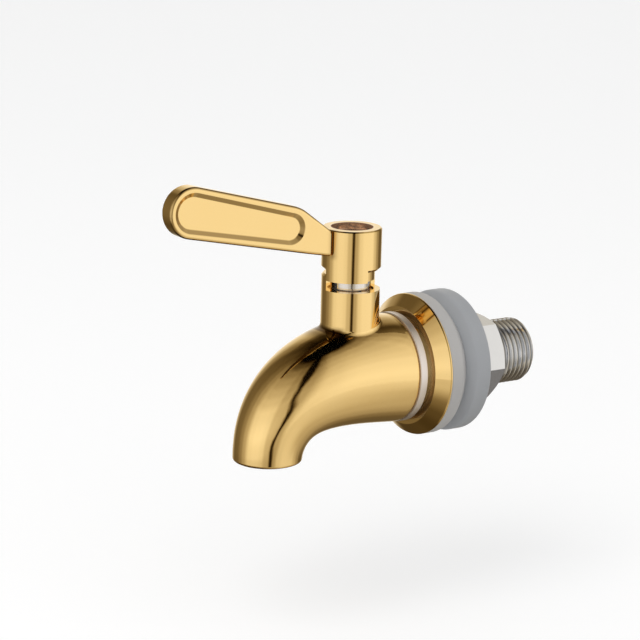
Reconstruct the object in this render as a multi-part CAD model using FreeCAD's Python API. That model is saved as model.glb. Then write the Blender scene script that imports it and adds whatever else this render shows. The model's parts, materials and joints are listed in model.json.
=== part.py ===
# Quarter-turn spigot for a drink dispenser, in millimetres.
# +Y runs along the threaded shank towards the container, -Y towards the cup, +Z is up.
# The origin is the centre of the wall flange's sealing face, on the shank's axis.
# At rest the lever points along -Y over the spout and the ball stands across the flow, which is shut.
import FreeCAD, Part

import math
import os

V = FreeCAD.Vector
X_DIR, Y_DIR, Z_DIR = V(1, 0, 0), V(0, 1, 0), V(0, 0, 1)
CENTRE = V(0, 0, 0)

# Clearances
slip = 0.05                 # radial, between a turned piece and its bore
play = 0.03                 # axial, between pieces that turn on each other
overlap = 1.0               # how far a piece of the casting reaches into the next one
lead = 20.0                 # how far a cutting tool runs past the face that it opens

# Threaded shank and its collar
thread_dia = 16.0
shank_tail = 32.45          # from the flange's sealing face to the shank's free end
shank_bore_dia = 10.0
thread_chamfer = 1.0
collar_dia = 26.7
collar_width = 2.0
collar_edge = 0.2
boss_dia = 24.0             # step that leaves a dark groove between collar and flange
boss_width = 1.3
nose_dia = 18.0             # the end that screws into the body
nose_length = 5.45
nose_chamfer = 0.5
nose_end_gap = 0.25         # between the nose and the floor of its socket in the body
undercut_depth = 1.4        # room for the shank's seal at the root of the nose
undercut_width = 1.6

# Wall flange, gaskets and nut
flange_dia = 34.65
flange_nose_dia = 28.9
flange_length = 3.0
flange_rim = 0.35           # straight land at the sealing edge
flange_edge = 0.15
gasket_bevel = 2.1
front_gasket_rim = 3.42
rear_gasket_rim = 4.06
gasket_edge = 0.3           # chamfer of the gaskets' outer edges
nut_across_flats = 19.3
nut_length = 9.8
nut_turn = 23.5             # degrees that a flat has turned past +X
nut_chamfer_angle = 30.0
nut_face_land = 0.1         # the turned face is this much inside the flats
nut_mouth = 0.7             # countersink of the nut's bore

# Spout body
stem_y = -18.35             # the stem's axis, and the ball's centre
barrel_dia = 26.4
barrel_length = 1.4         # straight run next to the collar, before the horn starts
barrel_edge = 0.8
outlet_y = -40.9            # the outlet's axis
outlet_z = -18.45           # the outlet's rim
outlet_dia = 16.45
outlet_bore_dia = 12.8
outlet_bore_length = 4.0
outlet_bore_step = 0.4      # the straight bore is this much wider all round than the passage above it
outlet_edge = 0.7
horn_reach = 21.7           # how far the horn's centreline keeps its first direction
horn_rise = 2.3             # how far it climbs on that way
horn_drop = 13.75           # how far above the outlet it already runs down
horn_shoulder_dia = 26.6    # the horn's girth a third of the way along
horn_waist_dia = 17.4       # and two thirds of the way along
passage_dia = 9.0           # the flow passage where it leaves the valve
passage_belly_dia = 17.0
neck_dia = 14.0
neck_top = 21.0
neck_flare = 1.2            # fillet where the neck grows out of the barrel
crown_height = 3.7          # the half-ring stop on the neck's rim
crown_chamfer = 0.5
crown_gap = 0.35            # degrees between the stop and the lever's tab
crown_clearance = 0.15      # between the stop and the hub's core

# Ball and seats
ball_dia = 13.0
ball_bore_dia = 7.0
ball_slot_width = 2.1
ball_slot_floor = 4.4       # above the ball's centre
chamber_dia = 14.0
seat_reach = 6.6            # from the ball's centre to a seat's outer face
seat_depth = 2.7

# Stem, its seals and the gland ring
journal_dia = 9.0           # bright upper journal, seen between neck and hub
lower_journal_dia = 8.0
collar_floor = 12.7         # the step in the neck's bore that the stem hangs on
stem_collar_dia = 10.8
stem_collar_height = 2.0
washer_height = 0.5
neck_bore_dia = 11.0
gland_recess = 0.4          # below the neck's rim
gland_slot_width = 1.4
gland_slot_depth = 1.2
blade_width = 6.0
blade_thickness = 2.0
blade_gap = 0.1             # over the floor of the ball's slot
seal_thickness = 1.24       # the stem's O-rings
seal_groove_width = 1.5
seal_heights = {"lower_stem_seal": 8.4, "upper_stem_seal": 10.9}
drive_across_flats = 6.4
drive_corner_dia = 8.8
drive_height = 6.3

# Lever: hub
hub_dia = 14.26
hub_top = 35.8
hub_roof = 25.8             # underside of the hub's full diameter
hub_foot = 23.39            # underside of its core and stop tab
hub_core_dia = 11.3
hub_chamfer = 0.6
hub_rim_chamfer = 0.3
well_dia = 10.1
well_floor = 29.9
lever_travel = 90.0         # degrees

# Lever: paddle, a bar between two circles, rising towards its tip
paddle_thickness = 4.4
paddle_tip_y, paddle_tip_z = -63.1, 43.2
paddle_tip_dia = 12.1
paddle_root_y, paddle_root_z = -36.8, 37.2
paddle_root_dia = 10.7
shoulder_run = 1.6          # from the root circle's centre to the bend in the top edge
throat_depth = 0.6          # how far outside the well's wall the bar ends, inside the hub
throat_top = 34.6           # height of the top edge there
throat_foot = 29.3          # height of the lower edge there
throat_bend = 6.5           # from the hub's axis to the bend in the lower edge, past the hub
shoulder_round = 10.5
paddle_edge = 0.75
pocket_tip_margin = 1.25
pocket_root_margin = 1.55
pocket_depth = 0.75
pocket_wall = 1.1           # how far the pocket's walls lean inwards
throat_groove_width = 0.6   # groove in the cheeks, along the hub
throat_groove_depth = 0.8

# Screw and washers in the hub's well
screw_dia = 4.0
screw_head_dia = 7.0
screw_head_height = 2.2
screw_slot_width = 1.2
screw_slot_depth = 1.1
screw_length = 9.0
screw_head_edge = 0.5
screw_point_chamfer = 0.4
tapping_run_out = 1.0       # how much deeper than the screw its thread is tapped
flat_washer_dia = 9.0
flat_washer_height = 0.8
flat_washer_clearance = 0.15
lock_washer_dia = 7.6
lock_washer_height = 0.9
lock_washer_split = 0.8

# Sizes and places that follow from the ones above
gasket_dia = flange_dia
flange_front = -flange_length
collar_front = flange_front - boss_width - collar_width
nose_end = collar_front - nose_length
horn_start = collar_front - barrel_length
front_gasket_length = front_gasket_rim + gasket_bevel
rear_gasket_end = front_gasket_length + gasket_bevel + rear_gasket_rim
thread_bore_dia = thread_dia + 2 * slip
outlet_seat_face = stem_y - seat_reach
stem_collar_floor = collar_floor + washer_height + play
stem_collar_top = stem_collar_floor + stem_collar_height
upper_washer_floor = stem_collar_top + play
gland_floor = upper_washer_floor + washer_height
gland_top = neck_top - gland_recess
crown_top = neck_top + crown_height
flat_washer_top = well_floor + flat_washer_height
screw_seat = flat_washer_top + lock_washer_height


def disc(dia, start, end, y):
    """Upright cylinder between two heights."""
    return Part.makeCylinder(dia / 2, end - start, V(0, y, start), Z_DIR)


def rod(dia, start, end):
    """Level cylinder on the shank's axis between two places along Y."""
    return Part.makeCylinder(dia / 2, end - start, V(0, start, 0), Y_DIR)


def turned_on_shank(profile):
    """Solid turned about the shank's axis from (radius, y) corners."""
    face = Part.Face(Part.makePolygon([V(r, y, 0) for r, y in profile + profile[:1]]))
    return face.revolve(CENTRE, Y_DIR, 360)


def turned_on_stem(profile):
    """Solid turned about the stem's axis from (radius, z) corners."""
    face = Part.Face(Part.makePolygon([V(r, stem_y, z) for r, z in profile + profile[:1]]))
    return face.revolve(V(0, stem_y, 0), Z_DIR, 360)


def sector(dia, start, end, first_angle, last_angle):
    """Upright slice of a cylinder about the stem, between two angles from +X, in degrees."""
    wedge = Part.makeCylinder(dia / 2, end - start, V(0, stem_y, start), Z_DIR, last_angle - first_angle)
    wedge.rotate(V(0, stem_y, 0), Z_DIR, first_angle)
    return wedge


def drive_block(across_flats, corner_dia, start, end):
    """The stem's square drive with its turned corners."""
    half = across_flats / 2
    square = Part.makeBox(across_flats, across_flats, end - start, V(-half, stem_y - half, start))
    return square.common(disc(corner_dia, start, end, y=stem_y))


def horn_loft(start_y, start_dia, shoulder_dia, waist_dia, end_dia, sections=9):
    """Round horn that leaves along -Y and bends down to the outlet, with a girth that changes smoothly."""
    centreline = Part.BezierCurve()
    centreline.setPoles([
        V(0, start_y, 0),
        V(0, collar_front - horn_reach, horn_rise),
        V(0, outlet_y, outlet_z + horn_drop),
        V(0, outlet_y, outlet_z),
    ])
    wires = []
    for step in range(sections):
        t = step / (sections - 1)
        s = 1 - t
        dia = s**3 * start_dia + 3 * s * s * t * shoulder_dia + 3 * s * t * t * waist_dia + t**3 * end_dia
        along = centreline.tangent(t)[0]
        bend = math.degrees(math.atan2(-along.z, -along.y)) if step else 0.0
        ring = Part.Wire(Part.Circle(CENTRE, V(0, -1, 0), dia / 2).toShape())
        ring.rotate(CENTRE, X_DIR, bend)
        ring.translate(centreline.value(t))
        wires.append(ring)
    return Part.makeLoft(wires, True, False)


def spout_body():
    """Cast body: barrel, horn, neck and stop, with the valve chamber, the stem's bore and the passage."""
    barrel = rod(barrel_dia, horn_start, collar_front)
    barrel = barrel.makeFillet(barrel_edge, edges_at(barrel, "y", collar_front))
    horn = horn_loft(horn_start, barrel_dia, horn_shoulder_dia, horn_waist_dia, outlet_dia)
    horn = horn.makeFillet(outlet_edge, edges_at(horn, "z", outlet_z))
    neck = disc(neck_dia, 0, neck_top, y=stem_y)
    body = horn.fuse([barrel, neck]).removeSplitter()
    seam = [e for e in body.Edges if is_neck_root(e)]
    body = body.makeFillet(neck_flare, seam)

    crown = sector(neck_dia, neck_top - overlap, crown_top, 90 + crown_gap, 270 - crown_gap)
    crown = crown.makeChamfer(crown_chamfer, [e for e in crown.Edges if is_crown_edge(e)])
    body = body.fuse(crown)

    socket_floor = nose_end - nose_end_gap
    throat_dia = outlet_bore_dia - 2 * outlet_bore_step
    passage = horn_loft(outlet_seat_face + overlap, passage_dia, passage_belly_dia, throat_dia, throat_dia)
    bores = [
        rod(nose_dia + 2 * slip, socket_floor, collar_front + lead),
        rod(chamber_dia, outlet_seat_face, collar_front),
        passage,
        disc(outlet_bore_dia, outlet_z - lead, outlet_z + outlet_bore_length, y=outlet_y),
        disc(lower_journal_dia + 2 * slip, 0, neck_top + lead, y=stem_y),
        disc(neck_bore_dia, collar_floor, neck_top + lead, y=stem_y),
        disc(hub_core_dia + 2 * crown_clearance, neck_top, neck_top + lead, y=stem_y),
    ]
    for bore in bores:
        body = body.cut(bore)
    return body


def edges_at(shape, axis, place):
    """Edges that lie in one plane across an axis."""
    low, high = axis.upper() + "Min", axis.upper() + "Max"
    return [
        e for e in shape.Edges
        if abs(getattr(e.BoundBox, low) - place) < 0.01 and abs(getattr(e.BoundBox, high) - place) < 0.01
    ]


def is_neck_root(edge):
    """True for the seam where the neck's wall leaves the barrel."""
    box = edge.BoundBox
    around_neck = abs(box.Center.y - stem_y) < neck_dia and box.ZMax < neck_top - 1.0
    return around_neck and box.ZMin > 5.0 and box.XLength <= neck_dia + 0.1 and edge.Length > 2.0


def is_crown_edge(edge):
    """True for the crown's outer top edge."""
    box = edge.BoundBox
    return abs(box.ZMin - crown_top) < 0.01 and edge.Curve.TypeId == "Part::GeomCircle"


def threaded_shank():
    """Turned steel shank: nose, collar, boss and threaded tail, bored right through."""
    r_bore, r_thread = shank_bore_dia / 2, thread_dia / 2
    r_nose, r_root = nose_dia / 2, nose_dia / 2 - undercut_depth
    r_collar, r_boss = collar_dia / 2, boss_dia / 2
    collar_back = flange_front - boss_width
    return turned_on_shank([
        (r_bore, nose_end),
        (r_nose - nose_chamfer, nose_end),
        (r_nose, nose_end + nose_chamfer),
        (r_nose, collar_front - undercut_width),
        (r_root, collar_front - undercut_width),
        (r_root, collar_front),
        (r_collar - collar_edge, collar_front),
        (r_collar, collar_front + collar_edge),
        (r_collar, collar_back - collar_edge),
        (r_collar - collar_edge, collar_back),
        (r_boss, collar_back),
        (r_boss, flange_front),
        (r_thread, flange_front),
        (r_thread, shank_tail - thread_chamfer),
        (r_thread - thread_chamfer, shank_tail),
        (r_bore, shank_tail),
    ])


def wall_flange():
    """Turned cone that carries the front gasket."""
    r_hole, r_rim, r_nose = thread_bore_dia / 2, flange_dia / 2, flange_nose_dia / 2
    cone = turned_on_shank([
        (r_hole, flange_front),
        (r_nose, flange_front),
        (r_rim, -flange_rim),
        (r_rim, 0),
        (r_hole, 0),
    ])
    return cone.makeChamfer(flange_edge, outer_edges(cone, -flange_rim, r_rim))


def gasket(flat_face, apex_face):
    """Silicone gasket, bevelled at the edge that faces the other gasket."""
    outer = gasket_dia / 2
    hole = thread_bore_dia / 2
    bevel_root = apex_face + math.copysign(gasket_bevel, flat_face - apex_face)
    ring = turned_on_shank([
        (hole, flat_face),
        (outer, flat_face),
        (outer, bevel_root),
        (outer - gasket_bevel, apex_face),
        (hole, apex_face),
    ])
    rims = outer_edges(ring, bevel_root, outer) + outer_edges(ring, flat_face, outer)
    return ring.makeChamfer(gasket_edge, rims)


def outer_edges(shape, place, radius):
    """Edges in a plane across Y that run round at one radius."""
    return [e for e in edges_at(shape, "y", place) if abs(e.BoundBox.ZMax - radius) < 0.01]


def lock_nut():
    """Hexagon nut with turned corners on both faces."""
    start, end = rear_gasket_end, rear_gasket_end + nut_length
    across_corners = nut_across_flats / math.cos(math.radians(30))
    corners = []
    for side in range(7):
        angle = math.radians(nut_turn + 30 + 60 * side)
        corners.append(V(across_corners / 2 * math.cos(angle), start, across_corners / 2 * math.sin(angle)))
    hexagon = Part.Face(Part.makePolygon(corners)).extrude(V(0, nut_length, 0))
    r_face, r_corner = nut_across_flats / 2 - nut_face_land, across_corners / 2 + nut_face_land
    drop = (r_corner - r_face) * math.tan(math.radians(nut_chamfer_angle))
    blank = turned_on_shank([
        (0, start),
        (r_face, start),
        (r_corner, start + drop),
        (r_corner, end - drop),
        (r_face, end),
        (0, end),
    ])
    r_bore = thread_bore_dia / 2
    nut = hexagon.common(blank).cut(rod(thread_bore_dia, start - lead, end + lead))
    for face, inwards in ((start, 1), (end, -1)):
        sink_floor = face + inwards * nut_mouth
        outside = face - inwards * overlap
        nut = nut.cut(turned_on_shank([
            (0, outside),
            (r_bore + nut_mouth + overlap, outside),
            (r_bore, sink_floor),
            (0, sink_floor),
        ]))
    return nut


def valve_ball():
    """Ball with its bore across the flow and a slot for the stem's blade."""
    centre = V(0, stem_y, 0)
    radius = ball_dia / 2
    ball = Part.makeSphere(radius, centre)
    bore = Part.makeCylinder(ball_bore_dia / 2, 2 * lead, centre - X_DIR * lead, X_DIR)
    corner = V(-ball_slot_width / 2, stem_y - radius, ball_slot_floor)
    slot = Part.makeBox(ball_slot_width, ball_dia, lead, corner)
    return ball.cut(bore).cut(slot)


def seat(outer_face, inner_face):
    """PTFE ring with a hollow that fits the ball."""
    start, end = min(outer_face, inner_face), max(outer_face, inner_face)
    ring = rod(chamber_dia - 2 * play, start, end)
    ring = ring.cut(rod(ball_bore_dia, start - lead, end + lead))
    return ring.cut(Part.makeSphere(ball_dia / 2 + play, V(0, stem_y, 0)))


def valve_stem():
    """Turned stem: blade, sealed journal, collar, upper journal and square drive, tapped for the screw."""
    r_low, r_high = lower_journal_dia / 2, journal_dia / 2
    foot = chamber_dia / 2 + 2 * slip
    turned = turned_on_stem([
        (0, foot),
        (r_low, foot),
        (r_low, stem_collar_floor),
        (stem_collar_dia / 2, stem_collar_floor),
        (stem_collar_dia / 2, stem_collar_top),
        (r_high, stem_collar_top),
        (r_high, hub_foot),
        (0, hub_foot),
    ])
    blade = Part.makeBox(
        blade_thickness, blade_width, foot - ball_slot_floor,
        V(-blade_thickness / 2, stem_y - blade_width / 2, ball_slot_floor + blade_gap),
    )
    drive = drive_block(drive_across_flats, drive_corner_dia, hub_foot, hub_foot + drive_height)
    stem = turned.fuse([blade, drive])
    groove_floor = r_low - seal_thickness - slip
    for height in seal_heights.values():
        half = seal_groove_width / 2
        groove = disc(lower_journal_dia + 1, height - half, height + half, y=stem_y)
        stem = stem.cut(groove.cut(disc(2 * groove_floor, height - half, height + half, y=stem_y)))
    tapped_floor = screw_seat - screw_length - tapping_run_out
    tapped = disc(screw_dia + 2 * slip, tapped_floor, hub_foot + lead, y=stem_y)
    return stem.cut(tapped).removeSplitter()


def stem_seal(height):
    """O-ring in one of the stem's grooves."""
    ring_radius = lower_journal_dia / 2 + slip / 2 - seal_thickness / 2
    return Part.makeTorus(ring_radius, seal_thickness / 2, V(0, stem_y, height), Z_DIR)


def shank_seal():
    """O-ring under the collar, squeezed into the mouth of the body."""
    thickness = undercut_depth - slip
    ring_radius = nose_dia / 2 - thickness / 2
    return Part.makeTorus(ring_radius, thickness / 2, V(0, collar_front - undercut_width / 2, 0), Y_DIR)


def thrust_washer(floor, hole_dia):
    """PTFE washer on one side of the stem's collar."""
    ring = disc(stem_collar_dia, floor, floor + washer_height, y=stem_y)
    return ring.cut(disc(hole_dia + 2 * slip, floor - lead, floor + lead, y=stem_y))


def gland_ring():
    """Threaded ring that holds the stem down, with two slots for its spanner."""
    ring = disc(neck_bore_dia - 2 * slip, gland_floor, gland_top, y=stem_y)
    ring = ring.cut(disc(journal_dia + 2 * slip, gland_floor - lead, gland_top + lead, y=stem_y))
    half = gland_slot_width / 2
    slot = Part.makeBox(neck_bore_dia + 2, gland_slot_width, lead,
                        V(-neck_bore_dia / 2 - 1, stem_y - half, gland_top - gland_slot_depth))
    return ring.cut(slot)


def hub():
    """Lever's hub: full-diameter cup, slimmer core and quarter-ring tab, with the well and drive hole."""
    r_hub, r_core = hub_dia / 2, hub_core_dia / 2
    cup = turned_on_stem([
        (0, hub_foot),
        (r_core, hub_foot),
        (r_core, hub_roof),
        (r_hub - hub_chamfer, hub_roof),
        (r_hub, hub_roof + hub_chamfer),
        (r_hub, hub_top - hub_rim_chamfer),
        (r_hub - hub_rim_chamfer, hub_top),
        (0, hub_top),
    ])
    tab = sector(hub_dia, hub_foot, hub_roof + 2 * hub_chamfer, -lever_travel, 0)
    return cup.fuse(tab)


def tangent_point(centre_y, centre_z, radius, lean):
    """Point of a circle in the lever's plane whose outward normal leans by an angle from +Y, in degrees."""
    angle = math.radians(lean)
    return V(0, centre_y + radius * math.cos(angle), centre_z + radius * math.sin(angle))


def bar_outline(tip_radius, root_radius):
    """Top and lower tangent points of the bar's two circles, and the tip's outermost point."""
    run, climb = paddle_root_y - paddle_tip_y, paddle_tip_z - paddle_root_z
    length = math.hypot(run, climb)
    rise = math.degrees(math.atan2(climb, run))
    spread = math.degrees(math.asin((tip_radius - root_radius) / length))
    top, foot = 90 - rise - spread, -90 - rise + spread
    return {
        "tip_top": tangent_point(paddle_tip_y, paddle_tip_z, tip_radius, top),
        "tip_end": tangent_point(paddle_tip_y, paddle_tip_z, tip_radius, 180 - rise),
        "tip_foot": tangent_point(paddle_tip_y, paddle_tip_z, tip_radius, foot),
        "root_foot": tangent_point(paddle_root_y, paddle_root_z, root_radius, foot),
        "root_end": tangent_point(paddle_root_y, paddle_root_z, root_radius, -rise),
        "root_top": tangent_point(paddle_root_y, paddle_root_z, root_radius, top),
    }


def pocket(side):
    """Recess with leaning walls on one cheek of the paddle; side is +1 or -1 along X."""
    wires = []
    face_x = side * paddle_thickness / 2
    for sunk in (-1, 0, 1):
        x = face_x - side * sunk * pocket_depth
        tip = paddle_tip_dia / 2 - pocket_tip_margin - sunk * pocket_wall
        root = paddle_root_dia / 2 - pocket_root_margin - sunk * pocket_wall
        at = bar_outline(tip, root)
        wire = Part.Wire([
            Part.LineSegment(at["root_top"], at["tip_top"]).toShape(),
            Part.Arc(at["tip_top"], at["tip_end"], at["tip_foot"]).toShape(),
            Part.LineSegment(at["tip_foot"], at["root_foot"]).toShape(),
            Part.Arc(at["root_foot"], at["root_end"], at["root_top"]).toShape(),
        ])
        wire.translate(V(x, 0, 0))
        wires.append(wire)
    return Part.makeLoft(wires, True, True)


def paddle():
    """Flat rounded bar that narrows into the hub."""
    at = bar_outline(paddle_tip_dia / 2, paddle_root_dia / 2)
    shoulder = at["root_top"] + (at["root_top"] - at["tip_top"]).normalize() * shoulder_run
    throat_y = stem_y - well_dia / 2 - throat_depth
    throat_top_point = V(0, throat_y, throat_top)
    throat_foot_point = V(0, throat_y, throat_foot)
    lower_bend_y = stem_y - hub_dia / 2 - throat_bend
    along = at["root_foot"] - at["tip_foot"]
    lower_bend = at["root_foot"] + along * ((lower_bend_y - at["root_foot"].y) / along.y)
    outline = Part.Wire([
        Part.LineSegment(throat_top_point, shoulder).toShape(),
        Part.LineSegment(shoulder, at["tip_top"]).toShape(),
        Part.Arc(at["tip_top"], at["tip_end"], at["tip_foot"]).toShape(),
        Part.LineSegment(at["tip_foot"], lower_bend).toShape(),
        Part.LineSegment(lower_bend, throat_foot_point).toShape(),
        Part.LineSegment(throat_foot_point, throat_top_point).toShape(),
    ])
    bar = Part.Face(outline).extrude(V(paddle_thickness, 0, 0))
    bar.translate(V(-paddle_thickness / 2, 0, 0))
    bends = [e for e in bar.Edges if is_bend(e, shoulder) or is_bend(e, lower_bend)]
    bar = bar.makeFillet(shoulder_round, bends)
    rims = [e for e in bar.Edges if e.BoundBox.XLength < 0.01 and e.BoundBox.YMin < throat_y - paddle_edge]
    return bar.makeFillet(paddle_edge, rims)


def throat_groove():
    """Groove that sets both cheeks of the paddle off from the hub."""
    ring = disc(hub_dia + 2 * throat_groove_width, throat_foot - lead, hub_top + lead, y=stem_y)
    ring = ring.cut(disc(hub_dia, throat_foot - lead, hub_top + lead, y=stem_y))
    web = paddle_thickness - 2 * throat_groove_depth
    kept = Part.makeBox(web, 2 * hub_dia, 4 * lead, V(-web / 2, stem_y - hub_dia, throat_foot - 1.5 * lead))
    return ring.cut(kept)


def is_bend(edge, point):
    """True for the bar's cross edge through a corner of its outline."""
    box = edge.BoundBox
    across = box.YLength < 0.01 and box.ZLength < 0.01
    return across and abs(box.YMin - point.y) < 0.01 and abs(box.ZMin - point.z) < 0.01


def lever():
    """Hub and paddle in one casting."""
    shape = paddle().cut(pocket(1)).cut(pocket(-1)).cut(throat_groove())
    shape = hub().fuse(shape).removeSplitter()
    shape = shape.cut(disc(well_dia, well_floor, hub_top + lead, y=stem_y))
    square, turned = drive_across_flats + 2 * slip, drive_corner_dia + 2 * slip
    return shape.cut(drive_block(square, turned, hub_foot - lead, well_floor + lead))


def flat_washer():
    """Plain washer on the well's floor."""
    ring = disc(flat_washer_dia, well_floor, flat_washer_top, y=stem_y)
    hole_dia = screw_dia + 2 * flat_washer_clearance
    return ring.cut(disc(hole_dia, well_floor - lead, flat_washer_top + lead, y=stem_y))


def lock_washer():
    """Split washer under the screw's head."""
    ring = disc(lock_washer_dia, flat_washer_top, screw_seat, y=stem_y)
    ring = ring.cut(disc(screw_dia + 2 * slip, flat_washer_top - lead, screw_seat + lead, y=stem_y))
    corner = V(0, stem_y - lock_washer_split / 2, flat_washer_top - lead / 2)
    return ring.cut(Part.makeBox(lead, lock_washer_split, lead, corner))


def lever_screw():
    """Slotted cheese-head screw that clamps the hub to the stem."""
    top = screw_seat + screw_head_height
    head = disc(screw_head_dia, screw_seat, top, y=stem_y)
    point = screw_seat - screw_length
    head = head.makeFillet(screw_head_edge, edges_at(head, "z", top))
    shank = disc(screw_dia, point, screw_seat, y=stem_y)
    shank = shank.makeChamfer(screw_point_chamfer, edges_at(shank, "z", point))
    slot_corner = V(-lead / 2, stem_y - screw_slot_width / 2, top - screw_slot_depth)
    slot = Part.makeBox(lead, screw_slot_width, lead, slot_corner)
    return head.fuse(shank).cut(slot)


def pieces():
    """Every piece by its name."""
    made = {
        "spout_body": spout_body(),
        "threaded_shank": threaded_shank(),
        "shank_seal": shank_seal(),
        "wall_flange": wall_flange(),
        "front_gasket": gasket(0, front_gasket_length),
        "rear_gasket": gasket(rear_gasket_end, front_gasket_length),
        "lock_nut": lock_nut(),
        "valve_ball": valve_ball(),
        "outlet_seat": seat(stem_y - seat_reach, stem_y - seat_reach + seat_depth),
        "inlet_seat": seat(stem_y + seat_reach, stem_y + seat_reach - seat_depth),
        "valve_stem": valve_stem(),
        "lower_thrust_washer": thrust_washer(collar_floor, lower_journal_dia),
        "upper_thrust_washer": thrust_washer(upper_washer_floor, journal_dia),
        "gland_ring": gland_ring(),
        "lever": lever(),
        "flat_washer": flat_washer(),
        "lock_washer": lock_washer(),
        "lever_screw": lever_screw(),
    }
    for name, height in seal_heights.items():
        made[name] = stem_seal(height)
    return made


os.makedirs("parts", exist_ok=True)
for name, shape in pieces().items():
    shape.exportStep(f"parts/{name}.step")
    print(f"{name}: {len(shape.Solids)} solid, {shape.Volume:.1f} mm3, valid {shape.isValid()}")
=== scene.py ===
"""Looks of a gold quarter-turn spigot for a drink dispenser, built around its fixed construction model."""

import json
import math

import bmesh
import bpy
from bpy.props import FloatProperty, FloatVectorProperty, IntProperty, PointerProperty
from mathutils import Matrix, Vector


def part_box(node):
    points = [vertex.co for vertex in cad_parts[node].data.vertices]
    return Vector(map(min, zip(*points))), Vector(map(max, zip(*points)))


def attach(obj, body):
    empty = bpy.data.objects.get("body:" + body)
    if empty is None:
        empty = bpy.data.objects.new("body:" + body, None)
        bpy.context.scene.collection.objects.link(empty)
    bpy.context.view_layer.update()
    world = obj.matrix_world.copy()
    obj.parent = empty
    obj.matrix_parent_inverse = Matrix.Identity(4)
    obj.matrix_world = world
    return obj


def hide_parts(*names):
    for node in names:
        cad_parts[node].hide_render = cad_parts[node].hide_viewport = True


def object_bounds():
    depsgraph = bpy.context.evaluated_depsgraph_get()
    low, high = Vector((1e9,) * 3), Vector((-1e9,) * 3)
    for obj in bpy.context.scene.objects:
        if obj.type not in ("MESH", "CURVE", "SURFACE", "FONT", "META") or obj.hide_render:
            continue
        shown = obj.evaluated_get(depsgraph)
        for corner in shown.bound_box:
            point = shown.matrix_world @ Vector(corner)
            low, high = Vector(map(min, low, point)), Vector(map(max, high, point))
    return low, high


bl_info = {
    "name": "Drink Dispenser Spigot",
    "version": (1, 0, 0),
    "blender": (4, 5, 0),
    "location": "View3D > Sidebar > Spigot",
    "description": "Dresses the spigot's construction model in plated gold, turned steel and silicone",
    "category": "Object",
}

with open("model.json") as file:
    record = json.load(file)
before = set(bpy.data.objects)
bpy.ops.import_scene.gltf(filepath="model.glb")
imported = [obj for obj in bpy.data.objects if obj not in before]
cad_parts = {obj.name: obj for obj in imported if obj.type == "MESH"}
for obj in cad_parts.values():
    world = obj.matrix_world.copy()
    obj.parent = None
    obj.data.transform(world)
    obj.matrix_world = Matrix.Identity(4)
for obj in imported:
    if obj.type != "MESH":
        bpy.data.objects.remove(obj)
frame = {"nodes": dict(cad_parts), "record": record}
cad_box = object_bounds()
MM = 0.001
MICRON = 0.001 * MM

# Sizes of the turned pieces that the frame's boxes don't give; THREAD_FLAT is a share of the pitch
BOSS_RADIUS, BOSS_WIDTH = 12.0 * MM, 1.3 * MM
NOSE_RADIUS, NOSE_CHAMFER = 9.0 * MM, 0.5 * MM
UNDERCUT_RADIUS, UNDERCUT_WIDTH = 7.6 * MM, 1.6 * MM
COLLAR_EDGE = 0.2 * MM
TAIL_CHAMFER = 1.0 * MM
THREAD_FLAT = 0.12
GASKET_HOLE, GASKET_BEVEL = 8.05 * MM, 2.1 * MM
GASKET_HOLE_EDGE, GASKET_RIM_EDGE = 0.2 * MM, 0.6 * MM
GASKET_SHOULDER, GASKET_LIP = 1.4 * MM, 0.3 * MM

# How near points are joined, and how steep an edge stays sharp
WELD_DISTANCE = 1e-7
SHARP_ANGLE = math.radians(28)

# Places and slopes where the castings' painted shade and the well's finish change; a pair is where a change
# begins and where it ends
STEM_Y = -18.35 * MM
CREASE_X, CREASE_Y = 2.2 * MM, -25.13 * MM
CREASE_REACH = (-0.6 * MM, 1.9 * MM)
CREASE_FOOT = (28.3 * MM, 29.8 * MM)
LEVER_FOOT = (28 * MM, 29 * MM)
FACING_DOWN = (0.58, 0.72)
POCKET_FLOOR, POCKET_RIM = (1.46 * MM, 1.6 * MM), (2.05 * MM, 2.2 * MM)
POCKET_FOOT, POCKET_START = (31 * MM, 32 * MM), (29 * MM, 31 * MM)
POCKET_UPTURN = (-0.3, 0.1)
NECK_CLOSE, NECK_CLOSE_START = (8.2 * MM, 10 * MM), (22.6 * MM, 24.2 * MM)
NECK_FAR, NECK_FAR_START = (9.5 * MM, 12.6 * MM), (24.8 * MM, 28 * MM)
NECK_TOP, NECK_BOTTOM = (11.6 * MM, 13 * MM), (5 * MM, 8 * MM)
COLLAR_GROOVE, COLLAR_GROOVE_START = (12.6 * MM, 13.9 * MM), (-3.3 * MM, -3.1 * MM)
WELL_WALL = (5.1 * MM, 5.3 * MM)

# The same for the steel behind the flange, with its paler thread and its painted shade in the thread's root
# and on the nut's downward facets
OUTSIDE = (-1 * MM, 0.0)
THREAD_ROOT, THREAD_CREST = (7.25 * MM, 7.98 * MM), (8.0 * MM, 8.1 * MM)
NUT_FACETS, NUT_FACING_DOWN = (8.1 * MM, 8.4 * MM), (0.2, 0.6)

# The floor, the lamp, and the light of the sky as matte surfaces and the camera see it
FLOOR_HALF = 6.0
FLOOR_SHADE, FLOOR_GLOW = 0.82, 0.235
LAMP_SIZE, LAMP_PLACE, LAMP_AIM = 0.5, (0.25, -0.45, 0.6), (0, -0.02, 0)
SKY_LIGHT, SKY_CAMERA_LIFT = 0.8, 0.09

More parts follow.
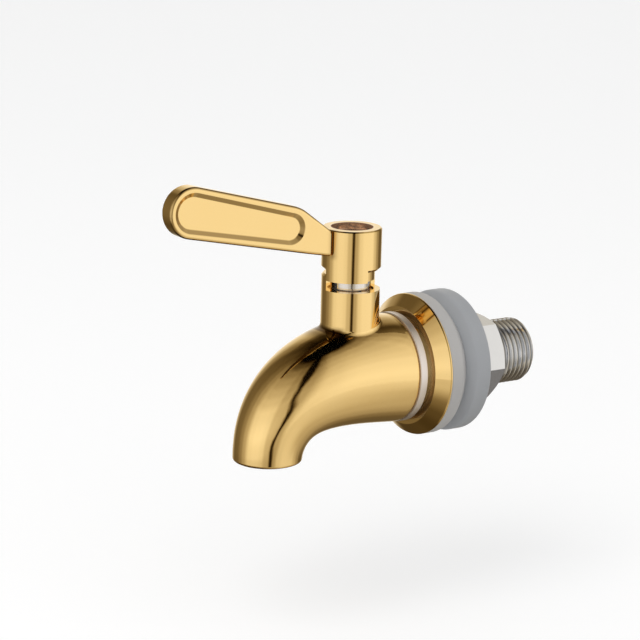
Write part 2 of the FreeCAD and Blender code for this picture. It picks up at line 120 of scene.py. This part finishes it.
# What the polished metal sees: its gain, the powers that make its darker parts warmer, and its brightness
# by azimuth (0 to 1 is -180 to 180 degrees) and by height (0 to 1 is straight down to straight up)
STUDIO_GAIN = 1.46
STUDIO_GREEN, STUDIO_BLUE = 1.12, 1.38
WALLS_ROUND = (
    (0.0, 0.15),
    (0.06, 0.1),
    (0.11, 0.44),
    (0.165, 0.77),
    (0.205, 0.6),
    (0.245, 0.28),
    (0.28, 0.12),
    (0.335, 0.13),
    (0.385, 0.22),
    (0.42, 0.36),
    (0.48, 0.7),
    (0.52, 0.75),
    (0.56, 0.75),
    (0.6, 0.7),
    (0.63, 0.51),
    (0.71, 0.38),
    (0.755, 0.66),
    (0.8, 0.74),
    (0.85, 0.745),
    (0.895, 0.75),
    (0.94, 0.52),
    (0.98, 0.28),
)
WALLS_UP = (
    (0.33, 0.75),
    (0.39, 0.92),
    (0.5, 1.0),
    (0.67, 0.9),
    (0.75, 0.76),
    (0.82, 0.64),
    (0.883, 0.5),
    (0.933, 0.35),
    (0.965, 0.15),
    (0.985, 0.0),
)
GROUND_ROUND = (
    (0.0, 0.26),
    (0.05, 0.16),
    (0.1, 0.1),
    (0.2, 0.05),
    (0.52, 0.07),
    (0.6, 0.2),
    (0.72, 0.3),
    (0.82, 0.5),
    (0.9, 0.38),
    (1.0, 0.28),
)


def colour(name, description, default):
    """A linear colour that the user can change."""
    return FloatVectorProperty(
        name=name, description=description, subtype="COLOR", size=3, min=0, max=1, default=default
    )


def length(name, description, default):
    """A length in metres that the user can change."""
    return FloatProperty(
        name=name, description=description, subtype="DISTANCE", unit="LENGTH", min=0, precision=5,
        default=default,
    )


def angle(name, description, degrees):
    """An angle that the user can change, with its default in degrees."""
    return FloatProperty(
        name=name, description=description, subtype="ANGLE", unit="ROTATION", default=math.radians(degrees)
    )


class SpigotFinishes(bpy.types.PropertyGroup):
    """Colours and polish of the spigot's materials, and the colours of their painted shade and light."""

    gold: colour("Gold plate", "Colour of the mirror-polished plating", (0.93, 0.695, 0.33))
    gold_polish: FloatProperty(
        name="Gold roughness", description="Roughness of the plating", min=0, max=1, default=0.045
    )
    # Painted shade: the colour towards which the plating is darkened in its creases and hollows
    painted_hollow_shade: colour("Hollow", "Colour of the plating deep in a hollow", (0.1, 0.045, 0.005))
    steel: colour("Steel", "Colour of the turned steel", (0.77, 0.79, 0.84))
    thread: colour("Thread", "Colour of the rolled thread", (0.9, 0.92, 0.97))
    journal: colour("Stem", "Colour of the ground steel stem", (0.86, 0.84, 0.84))
    # Painted shade: the screw and washers are darkened to stand for the shade deep in the hub's well
    screw: colour("Screw", "Colour of the screw and washers", (0.62, 0.52, 0.47))
    collar: colour("Collar", "Colour of the shank's satin collar", (0.8, 0.75, 0.735))
    well: colour("Well", "Colour of the hub's less polished well", (0.88, 0.64, 0.45))
    # The two gaskets are one silicone in painted light and shade: the rear one a darker shaded copy, the
    # front one a paler lit copy
    silicone: colour("Silicone", "Colour of the rear gasket", (0.36, 0.372, 0.39))
    front_silicone: colour("Front silicone", "Colour of the front gasket", (0.455, 0.445, 0.435))
    plastic: colour("Seat plastic", "Colour of the seats and thrust washers", (0.85, 0.85, 0.83))
    rubber: colour("Seal rubber", "Colour of the O-rings", (0.02, 0.02, 0.02))
    brass: colour("Gland brass", "Colour of the gland ring", (0.62, 0.42, 0.16))


class SpigotThread(bpy.types.PropertyGroup):
    """Sizes of the shank's fine thread."""

    pitch: length("Pitch", "Distance between two crests", 1.337 * MM)
    depth: length("Depth", "Height of a crest over its root", 0.72 * MM)
    columns: IntProperty(name="Columns", description="Facets round the thread", min=24, max=256, default=120)
    rows: IntProperty(name="Rows", description="Facets across one pitch", min=4, max=24, default=12)


class SpigotStudio(bpy.types.PropertyGroup):
    """The camera, the key lamp and the floor."""

    azimuth: angle("Azimuth", "How far the camera stands round from the front", 56.21)
    elevation: angle("Elevation", "Height of the camera over the level", 13.67)
    roll: angle("Roll", "Turn of the camera about its own line of sight", 1.425)
    distance: length("Distance", "From the camera to the point that it looks at", 0.6005)
    aim: FloatVectorProperty(
        name="Aim", description="Point that the camera looks at", subtype="TRANSLATION", unit="LENGTH",
        size=3, default=(-0.01438, -0.01721, 0.00978),
    )
    lens: FloatProperty(name="Lens", description="Focal length in millimetres", min=10, default=138.59)
    floor_drop: length("Floor drop", "How far the floor lies under the outlet", 0.045)
    key_power: FloatProperty(
        name="Key lamp", description="Power of the key lamp in watts", min=0, default=1.2
    )


class Flow:
    """One socket of a node tree, to build sums, products and further nodes on."""

    def __init__(self, tree, socket=None):
        self.tree = tree
        self.socket = socket

    def node(self, kind, settings=None, sockets=None, output=0):
        """Adds a node: its settings first, such as an operation or a ramp's stops, then its sockets."""
        made = self.tree.nodes.new(kind)
        for key, value in (settings or {}).items():
            if key == "stops":
                curve = made.color_ramp
                curve.interpolation = "EASE"
                while len(curve.elements) < len(value):
                    curve.elements.new(0.5)
                for element, (place, level) in zip(curve.elements, value):
                    element.position = place
                    element.color = (level, level, level, 1)
            else:
                setattr(made, key, value)
        for key, value in (sockets or {}).items():
            socket = made.inputs[key]
            if isinstance(value, Flow):
                self.tree.links.new(value.socket, socket)
            elif socket.type == "RGBA" and len(value) == 3:
                socket.default_value = (*value, 1)
            else:
                socket.default_value = value
        return Flow(self.tree, made.outputs[output] if made.outputs else None)

    def output(self, name):
        """Another output of the same node."""
        return Flow(self.tree, self.socket.node.outputs[name])

    def maths(self, operation, first, second=0.0):
        """Adds a Math node."""
        return self.node("ShaderNodeMath", {"operation": operation}, {0: first, 1: second})

    def __abs__(self):
        return self.maths("ABSOLUTE", self)

    def __add__(self, other):
        return self.maths("ADD", self, other)

    def __radd__(self, other):
        return self.maths("ADD", other, self)

    def __sub__(self, other):
        return self.maths("SUBTRACT", self, other)

    def __rsub__(self, other):
        return self.maths("SUBTRACT", other, self)

    def __mul__(self, other):
        return self.maths("MULTIPLY", self, other)

    def __rmul__(self, other):
        return self.maths("MULTIPLY", other, self)

    def __truediv__(self, other):
        return self.maths("DIVIDE", self, other)

    def __rtruediv__(self, other):
        return self.maths("DIVIDE", other, self)

    def __pow__(self, other):
        return self.maths("POWER", self, other)

    def __rpow__(self, other):
        return self.maths("POWER", other, self)

    def __neg__(self):
        return self.maths("MULTIPLY", self, -1.0)


def new_tree(owner):
    """Empty node tree of a material or world, as the start of a flow."""
    owner.use_nodes = True
    owner.node_tree.nodes.clear()
    return Flow(owner.node_tree)


def new_material(name):
    """Empty material, the start of its flow, and the point of its surface in the spigot's own frame."""
    material = bpy.data.materials.new(name)
    flow = new_tree(material)
    return material, flow, flow.node("ShaderNodeTexCoord", output="Object")


def noise(flow, place, scale, detail=2.0):
    """Cloudy noise between 0 and 1; three scales stretch it along X, Y and Z."""
    if isinstance(scale, tuple):
        place = flow.node("ShaderNodeVectorMath", {"operation": "MULTIPLY"}, {0: place, 1: scale})
        scale = 1.0
    return flow.node("ShaderNodeTexNoise", None, {"Vector": place, "Scale": scale, "Detail": detail}, "Fac")


def blend(flow, factor, first, second):
    """Colour between two colours."""
    return flow.node("ShaderNodeMix", {"data_type": "RGBA"}, {"Factor": factor, 6: first, 7: second}, 2)


def rising(flow, value, low, high):
    """Rises smoothly from 0 at one value to 1 at another."""
    return flow.node(
        "ShaderNodeMapRange", {"interpolation_type": "SMOOTHSTEP"}, {"Value": value, 1: low, 2: high}
    )


def falling(flow, value, low, high):
    """Falls smoothly from 1 at one value to 0 at another."""
    return 1 - rising(flow, value, low, high)


def ramp(flow, factor, stops):
    """Smooth curve through (place, level) stops."""
    return flow.node("ShaderNodeValToRGB", {"stops": stops}, {"Fac": factor})


def split(flow, vector):
    """The three parts of a vector, each as a value."""
    x = flow.node("ShaderNodeSeparateXYZ", None, {0: vector})
    return x, x.output("Y"), x.output("Z")


def distance(across, along):
    """How far a point lies from an axis, from its two distances square to it."""
    return (across * across + along * along) ** 0.5


def facing_down(flow, normal):
    """1 where a surface faces straight down, -1 where it faces straight up."""
    return -split(flow, normal)[2]


def bump(flow, height, depth):
    """Normal of a surface that is raised by height times a depth in metres."""
    return flow.node("ShaderNodeBump", None, {"Height": height, "Distance": depth}, "Normal")


def tinted(shade, *factors):
    """Colour with each of its channels scaled."""
    return tuple(min(1, c * k) for c, k in zip(shade, factors * 3 if len(factors) == 1 else factors))


def surface(flow, **sockets):
    """Principled surface that ends a material's tree."""
    named = {key.replace("_", " "): value for key, value in sockets.items()}
    shader = flow.node("ShaderNodeBsdfPrincipled", None, named, "BSDF")
    flow.node("ShaderNodeOutputMaterial", None, {"Surface": shader})


def painted_shade_depth(flow, place):
    """How strongly painted shade darkens a point of the castings where little light reaches, from 0 to 1."""
    x, y, z = split(flow, place)
    aside = abs(x)
    downward = facing_down(flow, flow.node("ShaderNodeTexCoord", output="Normal"))
    from_stem = distance(x, y - STEM_Y)
    from_shank = distance(x, z)

    # Painted shade in the two creases where the paddle's sides meet the hub, and on the lever's underside
    crease = 0.6 * falling(flow, distance(aside - CREASE_X, y - CREASE_Y), *CREASE_REACH)
    crease = crease * rising(flow, z, *CREASE_FOOT)
    under_lever = 0.8 * rising(flow, downward, *FACING_DOWN) * rising(flow, z, *LEVER_FOOT)

    # Painted shade on the walls of the paddle's pockets, less on walls that face down
    wall = rising(flow, aside, *POCKET_FLOOR) * falling(flow, aside, *POCKET_RIM)
    wall = wall * (0.3 + 0.2 * rising(flow, -downward, *POCKET_UPTURN))
    wall = wall * rising(flow, z, *POCKET_FOOT) * rising(flow, -y, *POCKET_START)

    # Painted shade on the front of the neck's foot, darkest close to the neck
    close = 0.95 * falling(flow, from_stem, *NECK_CLOSE) * rising(flow, -y, *NECK_CLOSE_START)
    far = 0.6 * falling(flow, from_stem, *NECK_FAR) * rising(flow, -y, *NECK_FAR_START)
    neck_foot = flow.maths("MAXIMUM", close, far)
    neck_foot = neck_foot * falling(flow, z, *NECK_TOP) * rising(flow, z, *NECK_BOTTOM)

    # Painted shade on the flange's face beside the shank's collar
    groove = 0.5 * falling(flow, from_shank, *COLLAR_GROOVE) * rising(flow, y, *COLLAR_GROOVE_START)
    return flow.maths("MINIMUM", crease + under_lever + wall + neck_foot + groove, 1.0)


def in_well(flow, place):
    """1 on the less polished wall of the hub's well, 0 elsewhere."""
    x, y, z = split(flow, place)
    return falling(flow, distance(x, y - STEM_Y), *WELL_WALL) * rising(flow, z, *LEVER_FOOT)


def gold_plate(finishes):
    """Mirror-polished gold plating with the faint waviness of a buffed casting, darkened by painted shade in
    its creases and hollows.
    """
    material, flow, place = new_material("look_gold_plate")
    cloud = noise(flow, place, 160.0)
    haze = noise(flow, place, 900.0, 3.0)
    plated = blend(flow, cloud, finishes.gold, tinted(finishes.gold, 1.0, 0.975, 0.93))
    well = in_well(flow, place)
    plated = blend(flow, well, plated, finishes.well)
    # Painted shade blends the plating towards its shade colour in creases, pockets, under the lever, at the
    # neck's foot and beside the collar
    surface(
        flow,
        Base_Color=blend(flow, painted_shade_depth(flow, place), plated, finishes.painted_hollow_shade),
        Metallic=1 - 0.16 * well,
        Roughness=finishes.gold_polish + haze * 0.03 + 0.06 * well,
        Normal=bump(flow, cloud, 8 * MICRON),
    )
    return material


def turned_steel(finishes):
    """Bright steel with the fine rings that a lathe leaves, a satin collar between the castings, and painted
    shade in the thread's root and on the nut's downward facets.
    """
    material, flow, place = new_material("look_turned_steel")
    rings = noise(flow, place, (200.0, 3500.0, 200.0))
    cloud = noise(flow, place, 260.0)
    x, y, z = split(flow, place)
    from_shank = distance(x, z)
    outside = rising(flow, y, *OUTSIDE)
    steel = blend(flow, cloud, finishes.steel, tinted(finishes.steel, 0.95))

    # The thread is paler, with painted shade in its root
    on_thread = falling(flow, from_shank, *THREAD_CREST) * outside
    steel = blend(flow, on_thread, steel, finishes.thread)
    root_shade = falling(flow, from_shank, *THREAD_ROOT) * outside
    steel = blend(flow, root_shade, steel, tinted(finishes.thread, 0.4))

    # The nut's downward facets are in shade
    downward = facing_down(flow, flow.node("ShaderNodeNewGeometry", output="Normal"))
    shaded = rising(flow, from_shank, *NUT_FACETS) * outside * rising(flow, downward, *NUT_FACING_DOWN)
    steel = blend(flow, shaded, steel, tinted(finishes.steel, 0.56, 0.6, 0.74))

    flange_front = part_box("wall_flange")[0].y
    collar = falling(flow, y, flange_front - BOSS_WIDTH, flange_front)
    surface(
        flow,
        Base_Color=blend(flow, collar, steel, finishes.collar),
        Metallic=1 - collar * 0.15 - outside * 0.08,
        Roughness=0.1 + rings * 0.05 + collar * 0.2,
        Normal=bump(flow, rings, 2 * MICRON),
    )
    return material


def ground_steel(name, shade):
    """Finely ground steel of a small piece."""
    material, flow, place = new_material(name)
    rings = noise(flow, place, (200.0, 200.0, 3500.0))
    surface(
        flow,
        Base_Color=blend(flow, rings, shade, tinted(shade, 0.94)),
        Metallic=0.85,
        Roughness=0.08 + rings * 0.06,
        Normal=bump(flow, rings, 2 * MICRON),
    )
    return material


def journal_steel(finishes):
    """Bright steel of the stem."""
    return ground_steel("look_journal_steel", finishes.journal)


def screw_steel(finishes):
    """Steel of the screw and washers in the well, painted darker as the shade deep in the well."""
    return ground_steel("look_screw_steel", finishes.screw)


def moulded_silicone(name, shade):
    """Matte silicone with a fine moulded skin."""
    material, flow, place = new_material(name)
    skin = noise(flow, place, 2600.0, 3.0)
    cloud = noise(flow, place, 140.0)
    surface(
        flow,
        Base_Color=blend(flow, cloud, shade, tinted(shade, 1.07)),
        Roughness=0.42 + skin * 0.14,
        Normal=bump(flow, skin, 20 * MICRON),
        Subsurface_Weight=0.25,
        Subsurface_Radius=(1.0, 1.0, 1.0),
        Subsurface_Scale=1.2 * MM,
    )
    return material


def silicone(finishes):
    """Grey silicone of the rear gasket, painted darker than the front one as its shaded copy."""
    return moulded_silicone("look_silicone", finishes.silicone)


def front_silicone(finishes):
    """Silicone of the front gasket, painted paler than the rear one as its lit copy."""
    return moulded_silicone("look_front_silicone", finishes.front_silicone)


def seat_plastic(finishes):
    """Waxy white fluoroplastic."""
    material, flow, place = new_material("look_seat_plastic")
    grain = noise(flow, place, 1800.0)
    surface(
        flow,
        Base_Color=blend(flow, grain, finishes.plastic, tinted(finishes.plastic, 0.93)),
        Roughness=0.35 + grain * 0.1,
        Normal=bump(flow, grain, 10 * MICRON),
    )
    return material


def seal_rubber(finishes):
    """Black nitrile with a satin skin."""
    material, flow, place = new_material("look_seal_rubber")
    grain = noise(flow, place, 2600.0)
    surface(
        flow,
        Base_Color=blend(flow, grain, finishes.rubber, tinted(finishes.rubber, 2.0)),
        Roughness=0.4 + grain * 0.15,
        Normal=bump(flow, grain, 10 * MICRON),
    )
    return material


def gland_brass(finishes):
    """Turned yellow brass."""
    material, flow, place = new_material("look_gland_brass")
    rings = noise(flow, place, (500.0, 500.0, 7000.0))
    surface(
        flow,
        Base_Color=blend(flow, rings, finishes.brass, tinted(finishes.brass, 0.85)),
        Metallic=1.0,
        Roughness=0.18 + rings * 0.12,
        Normal=bump(flow, rings, 8 * MICRON),
    )
    return material


MAKERS = (
    gold_plate, turned_steel, journal_steel, screw_steel, silicone, front_silicone, seat_plastic, seal_rubber,
    gland_brass,
)

# Construction nodes that look different from the rest of their slot; the screw and washers take a steel
# darkened with painted shade
OWN_FINISHES = {
    "valve_stem": "journal_steel",
    "flat_washer": "screw_steel",
    "lock_washer": "screw_steel",
    "lever_screw": "screw_steel",
}


def finish_for(name):
    """The material of a finish, made on first use."""
    makers = {maker.__name__: maker for maker in MAKERS}
    return bpy.data.materials.get("look_" + name) or makers[name](bpy.context.scene.spigot_finishes)


def dress(*names):
    """Gives construction nodes their own finish, or else the one of their slot."""
    slots = {part["node"]: part["material_slot"] for part in frame["record"]["subparts"]}
    for name in names:
        materials = frame["nodes"][name].data.materials
        materials.clear()
        materials.append(finish_for(OWN_FINISHES.get(name, slots[name])))


def mount_radius(name):
    """Radius of one of the record's mounts."""
    dims = {mount["name"]: mount["dims"] for mount in frame["record"]["mounts"]}
    return dims[name]["r_mm"] * MM


def surface_of_rows(name, rows):
    """Mesh object from rows of points that go round, each joined to the next and the last to the first."""
    mesh = bpy.data.meshes.new(name)
    build = bmesh.new()
    grid = [[build.verts.new(point) for point in row] for row in rows]
    for here, there in zip(grid, grid[1:] + grid[:1]):
        for step in range(len(here)):
            after = (step + 1) % len(here)
            build.faces.new((here[step], here[after], there[after], there[step]))
    bmesh.ops.remove_doubles(build, verts=build.verts, dist=WELD_DISTANCE)
    bmesh.ops.recalc_face_normals(build, faces=build.faces)
    build.to_mesh(mesh)
    build.free()
    mesh.shade_smooth()
    mesh.set_sharp_from_angle(angle=SHARP_ANGLE)
    made = bpy.data.objects.new(name, mesh)
    bpy.context.scene.collection.objects.link(made)
    return made


def about_shank(radius, along, turn):
    """Point at a radius and an angle about the shank's axis, counted right-handed from +Z."""
    return Vector((radius * math.sin(turn), along, radius * math.cos(turn)))


def turns_of(columns):
    """Angles of the columns of points that go once round."""
    return [2 * math.pi * step / columns for step in range(columns)]


def rows_round(profile, columns):
    """A row of points that goes round the shank's axis for each (radius, along) point of a profile."""
    turns = turns_of(columns)
    return [[about_shank(radius, along, turn) for turn in turns] for radius, along in profile]


def rounded(corners, steps=8):
    """Profile through (radius, along, rounding) corners; a rounding of 0 keeps its corner."""
    points = []
    for place, (radius, along, rounding) in enumerate(corners):
        corner = Vector((radius, along))
        if not rounding:
            points.append(corner)
            continue
        before, after = (Vector(corners[side % len(corners)][:2]) for side in (place - 1, place + 1))
        back, ahead = (before - corner).normalized(), (after - corner).normalized()
        half_angle = back.angle(ahead) / 2
        centre = corner + (back + ahead).normalized() * rounding / math.sin(half_angle)
        run = rounding / math.tan(half_angle)
        first = (corner + back * run - centre).normalized()
        last = (corner + ahead * run - centre).normalized()
        for step in range(steps + 1):
            points.append(centre + rounding * first.slerp(last, step / steps))
    return points


def turned(name, profile, columns=160):
    """Ring turned about the shank's axis from a closed profile of (radius, along) points."""
    return surface_of_rows(name, rows_round(profile, columns))


class SPIGOT_OT_castings(bpy.types.Operator):
    """Gold-plated body, lever and wall flange"""

    bl_idname = "spigot.castings"
    bl_label = "Gold castings"

    def execute(self, context):
        dress("spout_body", "lever", "wall_flange")
        return {"FINISHED"}


class SPIGOT_OT_shank(bpy.types.Operator):
    """Turned shank with its collar, boss and rolled thread"""

    bl_idname = "spigot.shank"
    bl_label = "Threaded shank"

    def execute(self, context):
        thread = context.scene.spigot_thread
        low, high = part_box("threaded_shank")
        bore = mount_radius("inlet")
        flange_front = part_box("wall_flange")[0].y
        body_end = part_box("spout_body")[1].y
        collar_end = flange_front - BOSS_WIDTH
        plain = rounded([
            (bore, low.y, 0),
            (NOSE_RADIUS - NOSE_CHAMFER, low.y, 0),
            (NOSE_RADIUS, low.y + NOSE_CHAMFER, 0),
            (NOSE_RADIUS, body_end - UNDERCUT_WIDTH, 0),
            (UNDERCUT_RADIUS, body_end - UNDERCUT_WIDTH, 0),
            (UNDERCUT_RADIUS, body_end, 0),
            (high.x, body_end, COLLAR_EDGE),
            (high.x, collar_end, COLLAR_EDGE),
            (BOSS_RADIUS, collar_end, 0),
            (BOSS_RADIUS, flange_front, 0),
        ])
        rows = rows_round(plain, thread.columns)
        rows += self.thread_rows(thread, flange_front, high.y)
        rows += rows_round([(bore, high.y)], thread.columns)
        shank = surface_of_rows("shank_with_thread", rows)
        shank.data.materials.append(finish_for("turned_steel"))
        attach(shank, "spout")
        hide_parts("threaded_shank")
        return {"FINISHED"}

    def thread_rows(self, thread, front, tail):
        """Rows of a helix that climbs one pitch a turn, held between the flange and the shank's tail."""
        crest = mount_radius("thread")
        start = front - thread.pitch
        turns = turns_of(thread.columns)
        rows = []
        for row in range(int((tail - front) / thread.pitch * thread.rows) + 2 * thread.rows):
            cut = crest - thread.depth * self.groove(row % thread.rows / thread.rows)
            points = []
            for turn in turns:
                free = start + thread.pitch * (row / thread.rows + turn / (2 * math.pi))
                along = min(max(free, front), tail)
                radius = min(cut, crest - TAIL_CHAMFER + tail - along)
                points.append(about_shank(radius, along, turn))
            rows.append(points)
        return rows

    @staticmethod
    def groove(share):
        """Depth of the thread's groove, 0 on the crest to 1 in the root, over one pitch."""
        slope = (min(share, 1 - share) - THREAD_FLAT / 2) / (0.5 - THREAD_FLAT)
        return min(max(slope, 0), 1)


class SPIGOT_OT_gaskets(bpy.types.Operator):
    """Two silicone gaskets"""

    bl_idname = "spigot.gaskets"
    bl_label = "Gaskets"

    def execute(self, context):
        self.gasket("front_gasket", "spout", front=True)
        self.gasket("rear_gasket", "gasket", front=False)
        return {"FINISHED"}

    @staticmethod
    def gasket(node, body, front):
        """Soft-edged ring in a gasket's place, with its bevel turned to the other gasket."""
        low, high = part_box(node)
        flat_face, apex = (low.y, high.y) if front else (high.y, low.y)
        bevel_root = apex + math.copysign(GASKET_BEVEL, flat_face - apex)
        ring = turned("soft_" + node, rounded([
            (GASKET_HOLE, flat_face, GASKET_HOLE_EDGE),
            (high.x, flat_face, GASKET_RIM_EDGE),
            (high.x, bevel_root, GASKET_SHOULDER),
            (high.x - GASKET_BEVEL, apex, GASKET_LIP),
            (GASKET_HOLE, apex, GASKET_HOLE_EDGE),
        ]))
        # The front gasket takes the lit copy of the silicone, the rear one the shaded copy
        ring.data.materials.append(finish_for("front_silicone" if front else "silicone"))
        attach(ring, body)
        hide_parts(node)


class SPIGOT_OT_nut(bpy.types.Operator):
    """Hexagon lock nut"""

    bl_idname = "spigot.nut"
    bl_label = "Lock nut"

    def execute(self, context):
        dress("lock_nut")
        return {"FINISHED"}


class SPIGOT_OT_valve(bpy.types.Operator):
    """Ball, seats, stem, seals and gland ring"""

    bl_idname = "spigot.valve"
    bl_label = "Valve"

    def execute(self, context):
        dress(
            "valve_ball", "outlet_seat", "inlet_seat", "valve_stem", "lower_stem_seal", "upper_stem_seal",
            "shank_seal", "lower_thrust_washer", "upper_thrust_washer", "gland_ring",
        )
        return {"FINISHED"}


class SPIGOT_OT_fixings(bpy.types.Operator):
    """Screw and washers in the hub's well"""

    bl_idname = "spigot.fixings"
    bl_label = "Lever screw"

    def execute(self, context):
        dress("flat_washer", "lock_washer", "lever_screw")
        return {"FINISHED"}


def near(flow, azimuth, centre, inner, outer):
    """1 within inner degrees of an azimuth, falling smoothly to 0 at outer degrees from it."""
    return falling(flow, abs(azimuth - centre), inner, outer)


def studio_walls(flow, azimuth, height):
    """Brightness above the ground: walls all round, dimming upwards to a dark ceiling."""
    walls = ramp(flow, azimuth / 360 + 0.5, WALLS_ROUND)
    rise = ramp(flow, height * 0.5 + 0.5, WALLS_UP)
    steepness = 1.35 - 0.63 * rising(flow, azimuth, 50, 90) - 0.6 * near(flow, azimuth, -48, 12, 48)
    whole_turn = flow.maths("FLOORED_MODULO", azimuth, 360.0)
    behind = 0.19 * near(flow, whole_turn, 170, 2, 34) * rising(flow, height, -0.12, 0.12)
    far_left = 0.75 * near(flow, azimuth, -110, 14, 42) * rising(flow, height, 0.62, 0.85)
    return (walls + behind) * rise ** steepness * (1 - far_left)


def studio_ground(flow, azimuth, height):
    """Brightness of the ground, and where it shows: 1 on the ground, falling to 0 on the walls."""
    ground = ramp(flow, azimuth / 360 + 0.5, GROUND_ROUND)
    ground = ground * (1 - 0.6 * rising(flow, -height, 0.86, 0.97))
    front = near(flow, azimuth, 28, 20, 50)
    return ground, rising(flow, -height - 0.08 * front, 0.3, 0.62)


def studio_gap(flow, azimuth, height):
    """The dark upright gap in the walls, nearly 1 in its middle, which leans and narrows with height."""
    centre = 63.0 + 8.5 * rising(flow, height, -0.24, -0.03) - 7.5 * rising(flow, height, 0.05, 0.38)
    centre = centre + 3.5 * rising(flow, -height, 0.235, 0.32)
    narrowed = 1.8 * rising(flow, height, -0.2, 0.2) - 5.2 * rising(flow, height, 0.45, 0.85)
    depth = 0.955 + 0.03 * rising(flow, height, -0.2, -0.08)
    return depth * falling(flow, abs(azimuth - centre) + narrowed, 1.5, 9.0)


class SPIGOT_OT_stage(bpy.types.Operator):
    """Pale floor, soft studio light and camera"""

    bl_idname = "spigot.stage"
    bl_label = "Stage"

    def execute(self, context):
        studio = context.scene.spigot_studio
        self.camera(studio)
        self.floor(studio)
        self.world()
        self.lamp(studio)
        return {"FINISHED"}

    @staticmethod
    def camera(studio):
        """Camera at the photograph's viewing angle."""
        a, e, r = studio.azimuth, studio.elevation, studio.roll
        back = Vector((math.sin(a) * math.cos(e), -math.cos(a) * math.cos(e), math.sin(e)))
        level = Vector((math.cos(a), math.sin(a), 0))
        upright = back.cross(level)
        right = level * math.cos(r) + upright * math.sin(r)
        up = upright * math.cos(r) - level * math.sin(r)
        camera = bpy.data.objects.new("camera", bpy.data.cameras.new("camera"))
        camera.data.sensor_width = 36
        camera.data.lens = studio.lens
        camera.matrix_world = Matrix((right, up, back)).transposed().to_4x4()
        camera.location = Vector(studio.aim) + back * studio.distance
        bpy.context.scene.collection.objects.link(camera)
        bpy.context.scene.camera = camera

    @staticmethod
    def floor(studio):
        """Wide pale floor below the outlet, a little brighter to the camera than its light makes it."""
        height = cad_box[0].z - studio.floor_drop
        signs = ((-1, -1), (1, -1), (1, 1), (-1, 1))
        mesh = bpy.data.meshes.new("floor")
        mesh.from_pydata([(x * FLOOR_HALF, y * FLOOR_HALF, height) for x, y in signs], [], [(0, 1, 2, 3)])
        floor = bpy.data.objects.new("floor", mesh)
        bpy.context.scene.collection.objects.link(floor)
        material, flow, _ = new_material("floor")
        to_camera = flow.node("ShaderNodeLightPath", output="Is Camera Ray")
        matte = flow.node("ShaderNodeBsdfDiffuse", None, {"Color": [FLOOR_SHADE] * 3, "Roughness": 1.0})
        glow = flow.node("ShaderNodeEmission", None, {"Strength": to_camera * FLOOR_GLOW})
        both = flow.node("ShaderNodeAddShader", None, {0: matte, 1: glow})
        flow.node("ShaderNodeOutputMaterial", None, {"Surface": both})
        floor.data.materials.append(material)
        floor.visible_glossy = False

    @staticmethod
    def world():
        """Plain white sky, in which polished metal sees walls with a dark gap, a ceiling and a ground."""
        world = bpy.data.worlds.new("studio")
        bpy.context.scene.world = world
        flow = new_tree(world)
        to_camera = flow.node("ShaderNodeLightPath", output="Is Camera Ray")
        glossy = to_camera.output("Is Glossy Ray")
        x, y, height = split(flow, flow.node("ShaderNodeTexCoord", output="Generated"))
        azimuth = flow.maths("ARCTAN2", x, -y) * (180 / math.pi)

        walls = studio_walls(flow, azimuth, height)
        ground, below = studio_ground(flow, azimuth, height)
        pattern = walls * (1 - below) + ground * below
        pattern = pattern * (1 - studio_gap(flow, azimuth, height) * (1 - below))
        tint = flow.node(
            "ShaderNodeCombineXYZ", None, {0: pattern, 1: pattern ** STUDIO_GREEN, 2: pattern ** STUDIO_BLUE}
        )

        reflected = flow.node("ShaderNodeBackground", None, {"Color": tint, "Strength": STUDIO_GAIN})
        strength = SKY_LIGHT + to_camera * SKY_CAMERA_LIFT
        plain = flow.node("ShaderNodeBackground", None, {"Color": (1, 1, 1), "Strength": strength})
        both = flow.node("ShaderNodeMixShader", None, {0: glossy, 1: plain, 2: reflected})
        flow.node("ShaderNodeOutputWorld", None, {"Surface": both})

    @staticmethod
    def lamp(studio):
        """One large soft key lamp."""
        data = bpy.data.lights.new("key", "AREA")
        data.shape = "DISK"
        data.size = LAMP_SIZE
        data.energy = studio.key_power
        lamp = bpy.data.objects.new("key", data)
        lamp.location = LAMP_PLACE
        lamp.rotation_euler = (Vector(LAMP_AIM) - lamp.location).to_track_quat("-Z", "Y").to_euler()
        lamp.visible_glossy = False
        bpy.context.scene.collection.objects.link(lamp)


OPERATORS = (
    SPIGOT_OT_castings,
    SPIGOT_OT_shank,
    SPIGOT_OT_gaskets,
    SPIGOT_OT_nut,
    SPIGOT_OT_valve,
    SPIGOT_OT_fixings,
    SPIGOT_OT_stage,
)
GROUPS = {
    "spigot_finishes": SpigotFinishes,
    "spigot_thread": SpigotThread,
    "spigot_studio": SpigotStudio,
}


class SPIGOT_PT_panel(bpy.types.Panel):
    """Sidebar panel with the spigot's settings and pieces"""

    bl_idname = "SPIGOT_PT_panel"
    bl_label = "Spigot"
    bl_space_type = "VIEW_3D"
    bl_region_type = "UI"
    bl_category = "Spigot"

    def draw(self, context):
        for group in GROUPS:
            settings = getattr(context.scene, group)
            box = self.layout.box()
            for name in settings.__annotations__:
                box.prop(settings, name)
        for operator in OPERATORS:
            self.layout.operator(operator.bl_idname)


CLASSES = (*GROUPS.values(), *OPERATORS, SPIGOT_PT_panel)


def register():
    """Adds the classes to Blender, and the settings to its scenes."""
    for cls in CLASSES:
        bpy.utils.register_class(cls)
    for name, group in GROUPS.items():
        setattr(bpy.types.Scene, name, PointerProperty(type=group))


def unregister():
    """Takes away what register() adds."""
    for name in GROUPS:
        delattr(bpy.types.Scene, name)
    for cls in reversed(CLASSES):
        bpy.utils.unregister_class(cls)


def main():
    register()
    for operator in OPERATORS:
        family, name = operator.bl_idname.split(".")
        getattr(getattr(bpy.ops, family), name)()
    bpy.context.scene.view_settings.view_transform = "Standard"


if __name__ == "__main__":
    main()
